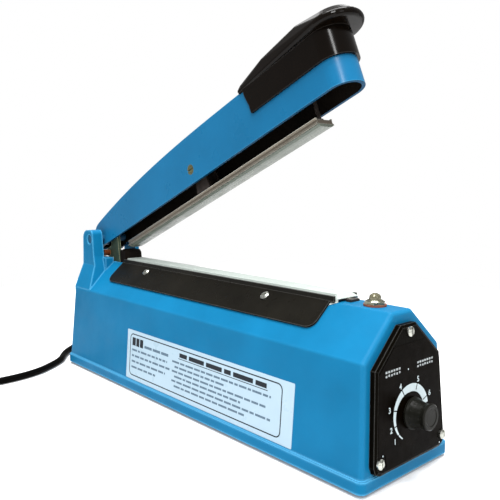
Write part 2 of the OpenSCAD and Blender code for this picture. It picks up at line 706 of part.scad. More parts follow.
module arm_shell() color([0.12, 0.5, 0.75]) on_arm() difference() {
    union() {
        difference() {
            arm_form(0, -arm_drop);
            arm_form(arm_wall, -arm_drop - 1);
        }
        // bosses round the hinge pin and the press bar's pivot
        for (sy = [0, 1]) mirror([0, sy, 0]) {
            translate([0, arm_half - 1, 0]) rotate([90, 0, 0]) cylinder(r = 5.4, h = 3, $fn = fine);
            translate([pivot_u, arm_half - 1, pivot_w]) rotate([90, 0, 0])
                cylinder(r = 4.5, h = 2.6, $fn = fine);
        }
        for (u = [handle_u + 24, handle_u + 56]) translate([u, 0, arm_rise - 6])
            cylinder(r = 4, h = 5, $fn = fine);
    }
    cross_pin(pin_r + 0.05, 60);
    translate([pivot_u, 0, pivot_w]) {
        cross_pin(pivot_r, 60);
        translate([0, -arm_half, 0]) rotate([-90, 0, 0]) cylinder(r1 = 3.6, r2 = 2, h = 1.6, $fn = fine);
    }
    for (u = [handle_u + 24, handle_u + 56]) translate([u, 0, 0]) cylinder(r = 1.8, h = 40, $fn = fine);
    // seat for the lift lever's rivets
    for (u = rivet_us) translate([u, 0, 3]) rotate([90, 0, 0]) cylinder(r = 1.4, h = rivet_reach, $fn = fine);
}

// Handle: a skirt round the arm's end under a crowned grip that overhangs the tip
module handle_cover() color([0.05, 0.05, 0.05]) on_arm() difference() {
    union() {
        intersection() {
            translate([0, 0, 10.4]) linear_extrude(height = 20) union() {
                translate([handle_u - 4, -14.2]) square([272 - handle_u + 4, 28.4]);
                translate([272, 0]) circle(r = 14.2, $fn = 96);
            }
            rotate([90, 0, 0]) linear_extrude(height = 60, center = true)
                polygon([[handle_u + 2, 0], [300, 0], [300, 40], [handle_u - 2, 40],
                    [handle_u - 0.4, 22], [handle_u + 1.2, 16]]);
        }
        hull() {
            for (sy = [-1, 1]) {
                translate([handle_u - 4.4, sy * 12.6, 28.4]) sphere(r = 1.6, $fn = soft);
                translate([handle_u - 2.6, sy * 11.4, 30.2]) sphere(r = 2, $fn = soft);
                translate([232, sy * 11.4, 34]) sphere(r = 3.2, $fn = soft);
                translate([262, sy * 10.4, 35.6]) sphere(r = 4.4, $fn = soft);
                translate([256, sy * 13, 28.6]) sphere(r = 1.6, $fn = soft);
            }
            translate([278, 0, 30.6]) rotate_extrude($fn = 48) translate([15, 0]) circle(r = 2.6, $fn = soft);
            translate([276, 0, 36.4]) sphere(r = 4.8, $fn = soft);
            translate([278, 0, 33.4]) cylinder(r = 13.4, h = 2.6, $fn = 48);
        }
    }
    arm_form(0, -arm_drop);
    for (u = [handle_u + 24, handle_u + 56]) translate([u, 0, 20]) cylinder(r = 1.8, h = 13.5, $fn = fine);
}

module handle_screws() color([0.75, 0.75, 0.75]) on_arm()
    for (u = [handle_u + 24, handle_u + 56]) translate([u, 0, arm_rise - 6]) mirror([0, 0, 1])
        pan_screw(3.5, 2.2, 1.8, 11.5);

// Plated steel lever, riveted inside the arm, reaching down through the body's slot
module lift_lever() color([0.6, 0.62, 0.4]) on_arm() difference() {
    translate([0, lever_y, 0]) rotate([-90, 0, 0]) linear_extrude(height = lever_t)
        polygon([[0.5, -8], [14, -8], [14, 6], [12, 14], [9.8, 24], [8, 34], [6, 39], [0, 39],
            [-1.2, 34], [-0.6, 24], [0.8, 17], [-6.6, 16], [-8.4, 11.5], [-6.6, 7.6],
            [1.2, 7.2], [2.6, 5]]);
    for (u = rivet_us) translate([u, 0, 3]) rotate([90, 0, 0]) cylinder(r = 1.4, h = 20, $fn = fine);
    translate([3, lever_y + 1, -36]) cross_pin(1.2, 8);
    translate([-4.6, lever_y + 1, -11.5]) cross_pin(2.6, 8);
    cross_pin(pin_r + 0.3, 40);
}

module lever_rivets() color([0.7, 0.7, 0.65]) on_arm() for (u = rivet_us)
    translate([u, lever_y + lever_t, 3]) rotate([90, 0, 0]) union() {
        translate([0, 0, -0.6]) cylinder(r = 2.2, h = 0.6, $fn = fine);
        cylinder(r = 1.4, h = rivet_reach + lever_y + lever_t, $fn = fine);
        translate([0, 0, lever_t]) cylinder(r = 2.2, h = arm_half - arm_wall + lever_y, $fn = fine);
    }

module pivot_screw() color([0.72, 0.6, 0.25]) on_arm() translate([pivot_u, 0, pivot_w])
    rotate([-90, 0, 0]) translate([0, 0, -arm_half]) difference() {
        union() {
            cylinder(r1 = 3.6, r2 = 2, h = 1.6, $fn = fine);
            cylinder(r = 2, h = 2 * arm_half + 4, $fn = fine);
        }
        translate([-4, -0.4, -1]) cube([8, 0.8, 1.7]);
    }

module pivot_nut() color([0.75, 0.75, 0.72]) on_arm() translate([pivot_u, arm_half, pivot_w])
    rotate([-90, 0, 0]) difference() {
        cylinder(r = 4, h = 3, $fn = 6);
        translate([0, 0, -1]) cylinder(r = 2, h = 6, $fn = fine);
    }

// Extruded bar with a groove along each side and a seat for the silicone strip
module press_bar() color([0.68, 0.66, 0.6]) on_arm() difference() {
    low = bar_low + pad_t;
    b = bar_half;
    translate([bar_u, 0, 0]) rotate([90, 0, 90]) linear_extrude(height = bar_l)
        polygon([[-b, low - 0.5], [-b, low + 0.3], [-b + 1, low + 0.8], [-b + 1, bar_top - 0.9],
            [-b + 0.3, bar_top], [-b + 1.8, bar_top], [-b + 1.8, bar_top - 0.8],
            [b - 1.8, bar_top - 0.8], [b - 1.8, bar_top], [b - 0.3, bar_top], [b - 1, bar_top - 0.9],
            [b - 1, low + 0.8], [b, low + 0.3], [b, low - 0.5],
            [b - 0.8, low - 0.5], [b - 0.8, low], [-b + 0.8, low], [-b + 0.8, low - 0.5]]);
    for (u = [pivot_u - 7, pivot_u + 7]) translate([u, 0, bar_top - 3]) cylinder(r = 1.5, h = 5, $fn = fine);
}

// Folded steel bracket on the bar's back, bored for the pivot screw
module bar_bracket() color([0.7, 0.7, 0.68]) on_arm() translate([pivot_u, 0, 0]) difference() {
    union() {
        translate([-11, -5.6, bar_top - 0.8]) cube([22, 11.2, 1.6]);
        for (sy = [-1, 1]) translate([0, sy * 4.9, 0]) rotate([90, 0, 0])
            linear_extrude(height = 1.4, center = true) union() {
                polygon([[-8, bar_top - 0.4], [8, bar_top - 0.4], [5, pivot_w], [-5, pivot_w]]);
                translate([0, pivot_w]) circle(r = 5, $fn = fine);
            }
    }
    translate([0, 0, pivot_w]) cross_pin(pivot_r + 0.05, 20);
    for (x = [-7, 7]) translate([x, 0, bar_top - 3]) cylinder(r = 1.5, h = 6, $fn = fine);
}

// Pin at the bar's front end that runs up inside the arm
module guide_pin() color([0.3, 0.25, 0.22]) on_arm() translate([250.4, 0, bar_top - 0.8]) union() {
    cylinder(r = 1.2, h = 22, $fn = fine);
    cylinder(r = 2.2, h = 1.2, $fn = fine);
}

module silicone_strip() color([0.85, 0.88, 0.86]) on_arm() translate([bar_u, 0, 0]) rotate([90, 0, 90])
    linear_extrude(height = bar_l) polygon([
        [-bar_half + 0.8, bar_low + pad_t], [bar_half - 0.8, bar_low + pad_t],
        [bar_half - 0.8, bar_low + 1], [4.6, bar_low + 0.2], [2.4, bar_low], [-2.4, bar_low],
        [-4.6, bar_low + 0.2], [-bar_half + 0.8, bar_low + 1]]);

// Moulded relief: a flange in the rear wall, then a sleeve that starts the lead's bend
module strain_relief() color([0.05, 0.05, 0.05]) union() {
    on_end(180) translate([0, -exit_y, exit_z]) rotate([0, 90, 0]) {
        cylinder(r = 6.6, h = 1.6, $fn = fine);
        translate([0, 0, -4]) cylinder(r = 5, h = 5, $fn = fine);
    }
    translate([body_x - wall_l, exit_y, exit_z + foot_h]) {
        translate([-relief_l, 0, 0]) rotate([0, 90, 0]) cylinder(r = 4.8, h = relief_l, $fn = fine);
        translate([-relief_l, -relief_bend, 0]) rotate([0, 0, 90])
            rotate_extrude(angle = relief_arc, $fn = 96) translate([relief_bend, 0])
                circle(r = 4.2, $fn = 32);
    }
}

// Points of a smooth curve through a list of points
function spline_at(p, i, t) = let (n = len(p), a = p[max(i - 1, 0)], b = p[i], c = p[min(i + 1, n - 1)],
    d = p[min(i + 2, n - 1)])
    0.5 * (2 * b + (c - a) * t + (2 * a - 5 * b + 4 * c - d) * t * t + (3 * b - a - 3 * c + d) * t * t * t);

module tube(path, r) {
    sides = 10;
    n = len(path);
    dirs = [for (i = [0 : n - 1]) let (v = path[min(i + 1, n - 1)] - path[max(i - 1, 0)]) v / norm(v)];
    pts = [for (i = [0 : n - 1])
        let (side = cross(dirs[i], [0, 0, 1]), s = side / norm(side), up = cross(s, dirs[i]))
        for (k = [0 : sides - 1]) path[i] + r * (cos(360 * k / sides) * s + sin(360 * k / sides) * up)];
    skin = [for (i = [0 : n - 2], k = [0 : sides - 1]) let (a = i * sides + k, b = i * sides + (k + 1) % sides)
        [a, b, b + sides, a + sides]];
    polyhedron(points = pts, faces = concat([[for (k = [sides - 1 : -1 : 0]) k]], skin,
        [[for (k = [0 : sides - 1]) (n - 1) * sides + k]]));
}

relief_end = [body_x - wall_l - relief_l - relief_bend * sin(relief_arc),
    exit_y - relief_bend * (1 - cos(relief_arc)), exit_z + foot_h];
lead = concat([relief_end], cord_route);
lead_path = [for (i = [0 : len(lead) - 2], t = [0, 0.5]) spline_at(lead, i, t)];

module power_cord() color([0.04, 0.04, 0.04])
    tube(concat(lead_path, [cord_route[len(cord_route) - 1]]), cord_d / 2);

module cord_coil() color([0.04, 0.04, 0.04]) translate([coil_xy[0], coil_xy[1], tie_t])
    ring(coil_r + coil_half, coil_r - coil_half, 2 * cord_d);

module cord_tie() color([0.9, 0.9, 0.88]) translate([coil_xy[0] - coil_r, coil_xy[1], cord_d + tie_t])
    difference() {
        cube([2 * coil_half + 2 * tie_t, 4, 2 * cord_d + 2 * tie_t], center = true);
        cube([2 * coil_half + 0.2, 6, 2 * cord_d + 0.02], center = true);
    }

module plug_body() color([0.05, 0.05, 0.05]) translate(plug_at) rotate([0, 0, plug_turn]) difference() {
    hull() {
        translate([0, 0, 0]) rotate([0, 90, 0]) cylinder(r = 4.4, h = 2, $fn = 32);
        for (y = [-7, 7]) translate([22, y, 0]) rotate([0, 90, 0]) cylinder(r = 7, h = 14, $fn = 32);
    }
    for (y = [-6.35, 6.35]) translate([30, y - 0.75, -3.2]) cube([8, 1.5, 6.4]);
}

module plug_pins() color([0.8, 0.75, 0.6]) translate(plug_at) rotate([0, 0, plug_turn])
    for (y = [-6.35, 6.35]) translate([30, y - 0.75, -3.2]) cube([22, 1.5, 6.4]);

body_shell();
bottom_plate();
bottom_screws();
rubber_feet();
front_panel();
panel_screws();
dial_label();
timer_knob();
knob_shaft();
potentiometer();
potentiometer_nut();
lamp_gasket();
lamp_bezel();
lamp_lens();
seal_rail();
rail_screws();
rail_tape();
heating_wire();
ptfe_cloth();
clamp_strip_near();
clamp_strip_far();
clamp_screws();
front_terminal();
rear_terminal();
terminal_cover();
transformer_core();
transformer_coil();
transformer_strap();
circuit_board();
board_posts();
relay();
capacitor();
mains_block();
microswitch();
switch_bracket();
switch_lever();
spring_anchor();
lift_spring();
hinge_pin();
hinge_clips();
spring_pin();
info_label();
arm_shell();
handle_cover();
handle_screws();
lift_lever();
lever_rivets();
pivot_screw();
pivot_nut();
press_bar();
bar_bracket();
guide_pin();
silicone_strip();
strain_relief();
power_cord();
cord_coil();
cord_tie();
plug_body();
plug_pins();
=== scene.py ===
import math
import bpy
from mathutils import Matrix, Vector


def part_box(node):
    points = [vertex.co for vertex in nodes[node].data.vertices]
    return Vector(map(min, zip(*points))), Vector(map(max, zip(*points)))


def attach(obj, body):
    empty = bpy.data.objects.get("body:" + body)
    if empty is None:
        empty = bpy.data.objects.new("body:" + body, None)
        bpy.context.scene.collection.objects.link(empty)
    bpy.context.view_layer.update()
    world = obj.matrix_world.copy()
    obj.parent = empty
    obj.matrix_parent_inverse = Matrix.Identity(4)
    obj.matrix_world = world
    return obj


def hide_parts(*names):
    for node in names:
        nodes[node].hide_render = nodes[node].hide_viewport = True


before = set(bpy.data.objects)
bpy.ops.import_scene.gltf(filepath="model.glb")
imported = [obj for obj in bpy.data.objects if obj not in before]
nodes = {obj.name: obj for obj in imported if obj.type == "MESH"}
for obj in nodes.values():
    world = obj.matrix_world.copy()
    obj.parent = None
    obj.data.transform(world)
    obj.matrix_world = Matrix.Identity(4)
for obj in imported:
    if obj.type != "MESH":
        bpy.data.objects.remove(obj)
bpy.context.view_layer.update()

scene = bpy.context.scene


def center(node):
    """Middle of a CAD node's box at rest."""
    lo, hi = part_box(node)
    return Vector([(a + b) / 2 for a, b in zip(lo, hi)])


# ---------------------------------------------------------------- driving dimensions
# Metres, apart from the cord's route and the places on the dial, the label and the arm, which
# are in millimetres where their sections say so
MM = 0.001
# The body: its middle, its walls above the rim, and their draft in metres per metre of height
HINGE_TO_MIDDLE = 0.143
BODY_X = center("hinge_pin").x + HINGE_TO_MIDDLE
WALL_HALF_L = 0.1585
WALL_HALF_W = 0.0385
RIM_H = 0.007
FOOT_H = 0.002
END_DRAFT = 0.062
SIDE_DRAFT = 0.074
END_X = WALL_HALF_L + END_DRAFT * RIM_H
SIDE_Y = WALL_HALF_W + SIDE_DRAFT * RIM_H
END_TILT = math.atan(END_DRAFT)
SIDE_TILT = math.atan(SIDE_DRAFT)
# The arm, at its open stop
ARM_ANGLE = math.radians(22.35)

# ---------------------------------------------------------------- camera
# The photo's view: where the camera stands, then its heading, its pitch down and its roll
CAM_POS = Vector((0.33031, -0.27362, 0.15577))
CAM_AZ = math.radians(47.947)
CAM_PITCH = math.radians(6.804)
CAM_ROLL = math.radians(0.11)
LENS, SENSOR = 44.4, 36
SHIFT_X, SHIFT_Y = -0.0014, 0.0142


def add_object(name, data):
    """A new object in the scene for a mesh, camera, light or text."""
    o = bpy.data.objects.new(name, data)
    scene.collection.objects.link(o)
    return o


def basis(origin, x, y, z):
    """Matrix of a frame from its origin and its three axes."""
    x, y, z = Vector(x).normalized(), Vector(y).normalized(), Vector(z).normalized()
    return Matrix(((x.x, y.x, z.x, origin[0]), (x.y, y.y, z.y, origin[1]),
                   (x.z, y.z, z.z, origin[2]), (0, 0, 0, 1)))


ahead = Vector((-math.sin(CAM_AZ) * math.cos(CAM_PITCH), math.cos(CAM_AZ) * math.cos(CAM_PITCH),
                -math.sin(CAM_PITCH)))
level_side = Vector((math.cos(CAM_AZ), math.sin(CAM_AZ), 0))
level_up = level_side.cross(ahead)
cam_side = level_side * math.cos(CAM_ROLL) + level_up * math.sin(CAM_ROLL)
cam_up = level_up * math.cos(CAM_ROLL) - level_side * math.sin(CAM_ROLL)
cam_data = bpy.data.cameras.new("camera")
cam_data.sensor_width = SENSOR
cam_data.lens = LENS
cam_data.shift_x = SHIFT_X
cam_data.shift_y = SHIFT_Y
cam_data.clip_start = 0.01
cam = add_object("camera", cam_data)
cam.matrix_world = basis(CAM_POS, cam_side, cam_up, -ahead)
scene.camera = cam

# ---------------------------------------------------------------- mesh helpers


def new_mesh(name, verts, faces, look, smooth=True):
    """A mesh piece that rides on the base and takes its finish from a slot."""
    mesh = bpy.data.meshes.new(name)
    mesh.from_pydata([tuple(v) for v in verts], [], faces)
    mesh.update()
    if smooth:
        for p in mesh.polygons:
            p.use_smooth = True
    o = add_object(name, mesh)
    mesh.materials.append(look)
    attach(o, "base")
    return o


def ring_faces(rows, sides):
    """Faces that join rows of points round an axis, with a cap at each end."""
    faces = []
    for i in range(rows - 1):
        for k in range(sides):
            a, b = i * sides + k, i * sides + (k + 1) % sides
            faces.append((a, b, b + sides, a + sides))
    faces.append(tuple(range(sides - 1, -1, -1)))
    faces.append(tuple((rows - 1) * sides + k for k in range(sides)))
    return faces


def tube(name, path, radii, sides, look):
    """A tube along a path of points: radii is one radius, or one for each point."""
    path = [Vector(p) for p in path]
    n = len(path)
    normal = None
    verts = []
    for i, p in enumerate(path):
        along = (path[min(i + 1, n - 1)] - path[max(i - 1, 0)]).normalized()
        if normal is None:
            normal = along.orthogonal().normalized()
        normal = (normal - along * normal.dot(along)).normalized()
        other = along.cross(normal)
        r = radii[i] if isinstance(radii, (list, tuple)) else radii
        for k in range(sides):
            a = 2 * math.pi * k / sides
            verts.append(p + r * (math.cos(a) * normal + math.sin(a) * other))
    return new_mesh(name, verts, ring_faces(n, sides), look)


def turned(name, profile, place, sides, look):
    """A solid of revolution: profile is (radius, height) along the local Z of place."""
    verts = []
    for r, h in profile:
        for k in range(sides):
            a = 2 * math.pi * k / sides
            verts.append(place @ Vector((r * math.cos(a), r * math.sin(a), h)))
    return new_mesh(name, verts, ring_faces(len(profile), sides), look)


def smooth_curve(points, steps):
    """Catmull-Rom curve through the points, with steps points for each of their gaps."""
    out = []
    n = len(points)
    for i in range(n - 1):
        a, b = points[max(i - 1, 0)], points[i]
        c, d = points[i + 1], points[min(i + 2, n - 1)]
        for s in range(steps):
            t = s / steps
            out.append([0.5 * (2 * b[j] + (c[j] - a[j]) * t
                               + (2 * a[j] - 5 * b[j] + 4 * c[j] - d[j]) * t * t
                               + (3 * b[j] - a[j] - 3 * c[j] + d[j]) * t ** 3) for j in range(3)])
    out.append(list(points[-1]))
    return out


# ---------------------------------------------------------------- materials
# Noise values that give the lowest and the highest tone or roughness
NOISE_LOW, NOISE_HIGH = 0.3, 0.7
LEAST_ROUGH = 0.02
# How much finer the mottling of the roughness is than that of the colour
ROUGH_FINER = 2.7
# Cosine between the true and the rounded normal where the lighter edge (painted highlight, with some
# wear) begins, and where it is full
HIGHLIGHT_WEAR_FROM, HIGHLIGHT_WEAR_FULL = 0.995, 0.9
BUMP_DEPTH = 0.0004
# Sockets of a Mix node that mixes colours: its factor, its two colours, and its result
MIX_FACTOR, MIX_A, MIX_B, MIX_RESULT = 0, 6, 7, 2


def srgb(r, g, b):
    """Linear colour from 0 to 255 display values."""
    def linear(c):
        c /= 255
        return c / 12.92 if c <= 0.04045 else ((c + 0.055) / 1.055) ** 2.4
    return (linear(r), linear(g), linear(b), 1)


def material(name, color, rough=0.5, metal=0.0, spec=0.5, coat=0.0, coat_rough=0.1, spread=0.06,
             tone_scale=30, rough_spread=0.12, bump=0.0, bump_scale=400, fine=0.0, fine_scale=2500,
             transmission=0.0, streak=None, edge=None):
    """Principled material with mottled colour and roughness, one or two bumps and edges lightened by
    a painted highlight, with some wear.

    streak scales the noise along each axis; edge is (colour, width, strength) of the painted edge
    highlight and wear."""
    m = bpy.data.materials.new(name)
    m.use_nodes = True
    tree = m.node_tree
    tree.nodes.clear()

    def add(kind, **settings):
        node = tree.nodes.new("ShaderNode" + kind)
        for key, value in settings.items():
            setattr(node, key, value)
        return node

    def join(output, socket):
        tree.links.new(output, socket)

    surface = add("OutputMaterial")
    shader = add("BsdfPrincipled")
    join(shader.outputs["BSDF"], surface.inputs["Surface"])
    source = add("TexCoord").outputs["Object"]
    if streak:
        stretch = add("Mapping")
        stretch.inputs["Scale"].default_value = streak
        join(source, stretch.inputs["Vector"])
        source = stretch.outputs["Vector"]

    def noise(scale, detail=4):
        texture = add("TexNoise")
        texture.inputs["Scale"].default_value = scale
        texture.inputs["Detail"].default_value = detail
        join(source, texture.inputs["Vector"])
        return texture.outputs["Fac"]

    def ramp(value, start, end, low, high):
        """Low where the value is at start, high where it is at end, and held between them."""
        node = add("MapRange")
        for key, number in zip(("From Min", "From Max", "To Min", "To Max"), (start, end, low, high)):
            node.inputs[key].default_value = number
        join(value, node.inputs["Value"])
        return node.outputs["Result"]

    tone = add("VectorMath", operation="SCALE")
    tone.inputs[0].default_value = color[:3]
    join(ramp(noise(tone_scale), NOISE_LOW, NOISE_HIGH, 1 - spread, 1 + spread), tone.inputs["Scale"])
    base = tone.outputs["Vector"]
    # Edges take a lighter tint: a painted highlight, with some wear
    if edge:
        tint, width, strength = edge
        rounded = add("Bevel", samples=6)
        rounded.inputs["Radius"].default_value = width
        facing = add("VectorMath", operation="DOT_PRODUCT")
        join(rounded.outputs["Normal"], facing.inputs[0])
        join(add("NewGeometry").outputs["Normal"], facing.inputs[1])
        mix = add("Mix", data_type="RGBA")
        mix.inputs[MIX_B].default_value = tint
        join(ramp(facing.outputs["Value"], HIGHLIGHT_WEAR_FROM, HIGHLIGHT_WEAR_FULL, 0, strength), mix.inputs[MIX_FACTOR])
        join(base, mix.inputs[MIX_A])
        base = mix.outputs[MIX_RESULT]
    join(base, shader.inputs["Base Color"])
    smoothest, roughest = max(LEAST_ROUGH, rough - rough_spread), min(1, rough + rough_spread)
    join(ramp(noise(tone_scale * ROUGH_FINER), NOISE_LOW, NOISE_HIGH, smoothest, roughest),
         shader.inputs["Roughness"])
    for key, value in (("Metallic", metal), ("Specular IOR Level", spec), ("Coat Weight", coat),
                       ("Coat Roughness", coat_rough), ("Transmission Weight", transmission)):
        shader.inputs[key].default_value = value
    normal = None
    for strength, scale in ((bump, bump_scale), (fine, fine_scale)):
        if strength:
            relief = add("Bump")
            relief.inputs["Strength"].default_value = strength
            relief.inputs["Distance"].default_value = BUMP_DEPTH
            join(noise(scale, 2), relief.inputs["Height"])
            if normal:
                join(normal, relief.inputs["Normal"])
            normal = relief.outputs["Normal"]
    if normal:
        join(normal, shader.inputs["Normal"])
    return m


# The edge colours below are lighter than each finish: a painted highlight along the edges, with some
# wear
BLUE = (0.003, 0.127, 0.267, 1)
SHEEN_AND_WEAR_BLUE = (0.075, 0.33, 0.55, 1)
blue = material("blue_paint", BLUE, 0.45, spec=0.06, spread=0.1, rough_spread=0.06, tone_scale=26,
                bump=0.3, bump_scale=150, fine=0.1, fine_scale=1400, edge=(SHEEN_AND_WEAR_BLUE, 0.0022, 0.75))
# The arm's blue is the body's paint made darker: a painted shade
blue_arm_shaded = material("blue_paint_arm_shaded", (0.0055, 0.116, 0.25, 1), 0.3, spec=0.16, spread=0.09,
                    rough_spread=0.05, tone_scale=24, bump=0.14, bump_scale=150, fine=0.06,
                    fine_scale=1400, edge=(SHEEN_AND_WEAR_BLUE, 0.001, 0.3))
# A darker blue for the arm's downward faces: a painted shade
arm_edge_shade = material("arm_edge_shade", (0.003, 0.05, 0.11, 1), 0.5, spec=0.05, spread=0.1)
gloss_black = material("gloss_black", (0.0028, 0.0017, 0.001, 1), 0.16, spec=0.11, spread=0.25,
                       rough_spread=0.03, bump=0.04, bump_scale=60,
                       edge=((0.06, 0.055, 0.05, 1), 0.0008, 0.35))
panel_black = material("panel_black", (0.0016, 0.0012, 0.0006, 1), 0.3, spec=0.015, spread=0.25,
                       bump=0.06, bump_scale=500, edge=((0.09, 0.09, 0.085, 1), 0.0007, 0.6))
knob_black = material("knob_black", (0.0045, 0.0045, 0.0032, 1), 0.32, spec=0.08, spread=0.2,
                      bump=0.08, bump_scale=900, edge=((0.06, 0.06, 0.055, 1), 0.0005, 0.25))
film_black = material("film_black", (0.0018, 0.0011, 0.0005, 1), 0.36, spec=0.015, spread=0.3,
                      tone_scale=80, bump=0.03)
clamp_black = material("clamp_black", (0.0062, 0.0055, 0.004, 1), 0.3, spec=0.06, spread=0.3,
                       tone_scale=45, rough_spread=0.05, bump=0.08, bump_scale=300,
                       edge=((0.14, 0.14, 0.13, 1), 0.0005, 0.5))
# Near black for the arm's inside faces, a painted shade; the terminal cover takes it as its own dark
# colour
inside_shade_and_dark_cover = material("inside_shade_and_dark_cover", (0.0075, 0.0058, 0.0045, 1), 0.6, spec=0.03, spread=0.35,
                       bump=0.2, bump_scale=200)
pin_blue = material("pin_blue", (0.006, 0.06, 0.13, 1), 0.45, spec=0.2, spread=0.2, bump=0.2,
                    bump_scale=700)
dark_metal = material("dark_metal", (0.035, 0.028, 0.024, 1), 0.4, metal=0.4, spec=0.2, spread=0.3,
                      tone_scale=200, bump=0.2, bump_scale=700)
zinc = material("zinc", srgb(176, 178, 170), 0.28, metal=1, spread=0.2, tone_scale=200, bump=0.15,
                bump_scale=900, edge=(srgb(240, 240, 235), 0.0003, 0.6))
yellow_zinc = material("yellow_zinc", (0.085, 0.125, 0.085, 1), 0.4, metal=0.5, spec=0.2,
                       spread=0.25, tone_scale=90, bump=0.12, bump_scale=500,
                       edge=((0.62, 0.62, 0.38, 1), 0.0009, 0.9))
aluminium = material("aluminium", (0.15, 0.125, 0.095, 1), 0.34, metal=0.6, spec=0.3, spread=0.12,
                     tone_scale=60, streak=(0.04, 1, 1), bump=0.2, bump_scale=900,
                     edge=((0.5, 0.5, 0.44, 1), 0.0005, 0.8))
brass = material("brass", (0.14, 0.14, 0.07, 1), 0.36, metal=0.7, spec=0.25, spread=0.2,
                 tone_scale=250, bump=0.12, bump_scale=900)
silicone = material("silicone", (0.115, 0.13, 0.105, 1), 0.3, spec=0.3, spread=0.1, tone_scale=18,
                    bump=0.04, bump_scale=120)
cloth_white = material("cloth_white", (0.42, 0.47, 0.44, 1), 0.5, spec=0.2, spread=0.06,
                       tone_scale=60, bump=0.35, bump_scale=1600, fine=0.2, fine_scale=4000)
rubber_black = material("rubber_black", (0.0012, 0.001, 0.0008, 1), 0.5, spec=0.02, spread=0.2,
                        bump=0.15, bump_scale=700)
lamp_metal = material("lamp_metal", (0.16, 0.165, 0.12, 1), 0.25, metal=0.8, spread=0.3,
                      tone_scale=300, bump=0.1, bump_scale=700,
                      edge=((0.5, 0.5, 0.42, 1), 0.0003, 0.7))
lamp_glass = material("lamp_glass", (0.17, 0.16, 0.1, 1), 0.14, metal=0.35, spec=0.5, spread=0.2,
                      tone_scale=300, transmission=0.3)
gasket_brown = material("gasket_brown", srgb(120, 72, 56), 0.6, spec=0.2, spread=0.2,
                        tone_scale=200, bump=0.3)
brown_steel = material("brown_steel", srgb(120, 58, 26), 0.5, metal=0.2, spec=0.2, spread=0.35,
                       tone_scale=200, bump=0.25)
label_film = material("label_film", srgb(158, 180, 194), 0.35, spec=0.2, spread=0.02,
                      tone_scale=40, bump=0.04, bump_scale=120)
ink = material("ink", srgb(20, 26, 34), 0.5, spec=0.15, spread=0.2, tone_scale=900)
grey_ink = material("grey_ink", srgb(84, 104, 120), 0.5, spec=0.15, spread=0.25, tone_scale=1500)
white_ink = material("white_ink", srgb(178, 192, 196), 0.45, spec=0.2, spread=0.05, tone_scale=300)
dim_ink = material("dim_ink", srgb(150, 156, 158), 0.45, spec=0.2, spread=0.3, tone_scale=900)
copper = material("copper", srgb(176, 92, 46), 0.35, metal=0.8, spread=0.2, tone_scale=120,
                  streak=(1, 1, 12), bump=0.5, bump_scale=300)
core_steel = material("core_steel", srgb(92, 92, 94), 0.5, metal=0.7, spread=0.2,
                      streak=(1, 14, 1), bump=0.4, bump_scale=200)
board_green = material("board_green", srgb(30, 92, 48), 0.35, coat=0.3, spread=0.2,
                       tone_scale=200, bump=0.1)
component = material("component", srgb(40, 62, 110), 0.35, spread=0.1, bump=0.05)
nylon = material("nylon", srgb(206, 204, 192), 0.45, spread=0.05, bump=0.1)
nichrome = material("nichrome", srgb(150, 146, 138), 0.35, metal=1, spread=0.12, tone_scale=200,
                    bump=0.1)
floor_white = material("floor_white", (0.72, 0.72, 0.72, 1), 0.9, spec=0.02, spread=0.005)

LOOKS = {
    "body_shell": blue, "arm_shell": blue_arm_shaded, "bottom_plate": zinc, "bottom_screws": zinc,
    "rubber_feet": rubber_black, "front_panel": panel_black, "panel_screws": zinc,
    "dial_label": film_black, "timer_knob": knob_black, "knob_shaft": zinc,
    "potentiometer": component, "potentiometer_nut": zinc, "lamp_gasket": gasket_brown,
    "lamp_bezel": lamp_metal, "lamp_lens": lamp_glass, "seal_rail": aluminium,
    "rail_screws": zinc, "rail_tape": gasket_brown, "heating_wire": nichrome,
    "ptfe_cloth": cloth_white, "clamp_strip_near": clamp_black, "clamp_strip_far": clamp_black,
    "clamp_screws": zinc, "front_terminal": dark_metal, "rear_terminal": brass,
    "terminal_cover": inside_shade_and_dark_cover, "transformer_core": core_steel, "transformer_coil": copper,
    "transformer_strap": zinc, "circuit_board": board_green, "board_posts": nylon,
    "relay": component, "capacitor": component, "mains_block": nylon, "microswitch": knob_black,
    "switch_bracket": zinc, "switch_lever": zinc, "spring_anchor": zinc, "lift_spring": zinc,
    "hinge_pin": pin_blue, "hinge_clips": pin_blue, "spring_pin": brown_steel,
    "info_label": label_film, "handle_cover": gloss_black, "handle_screws": zinc,
    "lift_lever": yellow_zinc, "lever_rivets": zinc, "pivot_screw": brass, "pivot_nut": zinc,
    "press_bar": aluminium, "bar_bracket": dark_metal, "guide_pin": dark_metal,
    "silicone_strip": silicone, "strain_relief": rubber_black, "power_cord": rubber_black,
    "cord_coil": rubber_black, "cord_tie": nylon, "plug_body": rubber_black, "plug_pins": brass,
}
# Every material slot of a CAD node gets the node's look
for name, look in LOOKS.items():
    slots = nodes[name].data.materials
    if len(slots) == 0:
        slots.append(look)
    for i in range(len(slots)):
        slots[i] = look

# ---------------------------------------------------------------- power cord
CORD_R = 0.00275
REAR_X, EXIT_Y, EXIT_Z = BODY_X - WALL_HALF_L, 0.024, 0.017
EXIT = Vector((REAR_X, EXIT_Y, EXIT_Z))
# The relief holds the lead straight for RELIEF_L, then through the start of its bend
RELIEF_L, RELIEF_BEND, RELIEF_ARC = 0.009, 0.026, math.radians(30)
STRAIGHT_STEPS, BEND_STEPS = 3, 5
# The route from the relief to the coil, in millimetres: down to the table, then along it
LAY = 2.8
route = [(-196.5, 13.5, 14.5), (-201.5, 4, 10.5), (-202, -7, 6.8), (-198.5, -18, 4.2),
         (-191, -29.5, 3), (-181.5, -37.5, LAY), (-172, -44, LAY), (-164.5, -52, LAY),
         (-158, -61, LAY), (-151.5, -72, LAY), (-147.3, -85, LAY), (-145.6, -98, LAY),
         (-145.5, -110, LAY), (-145.6, -122, LAY), (-145.7, -134, 3.3)]
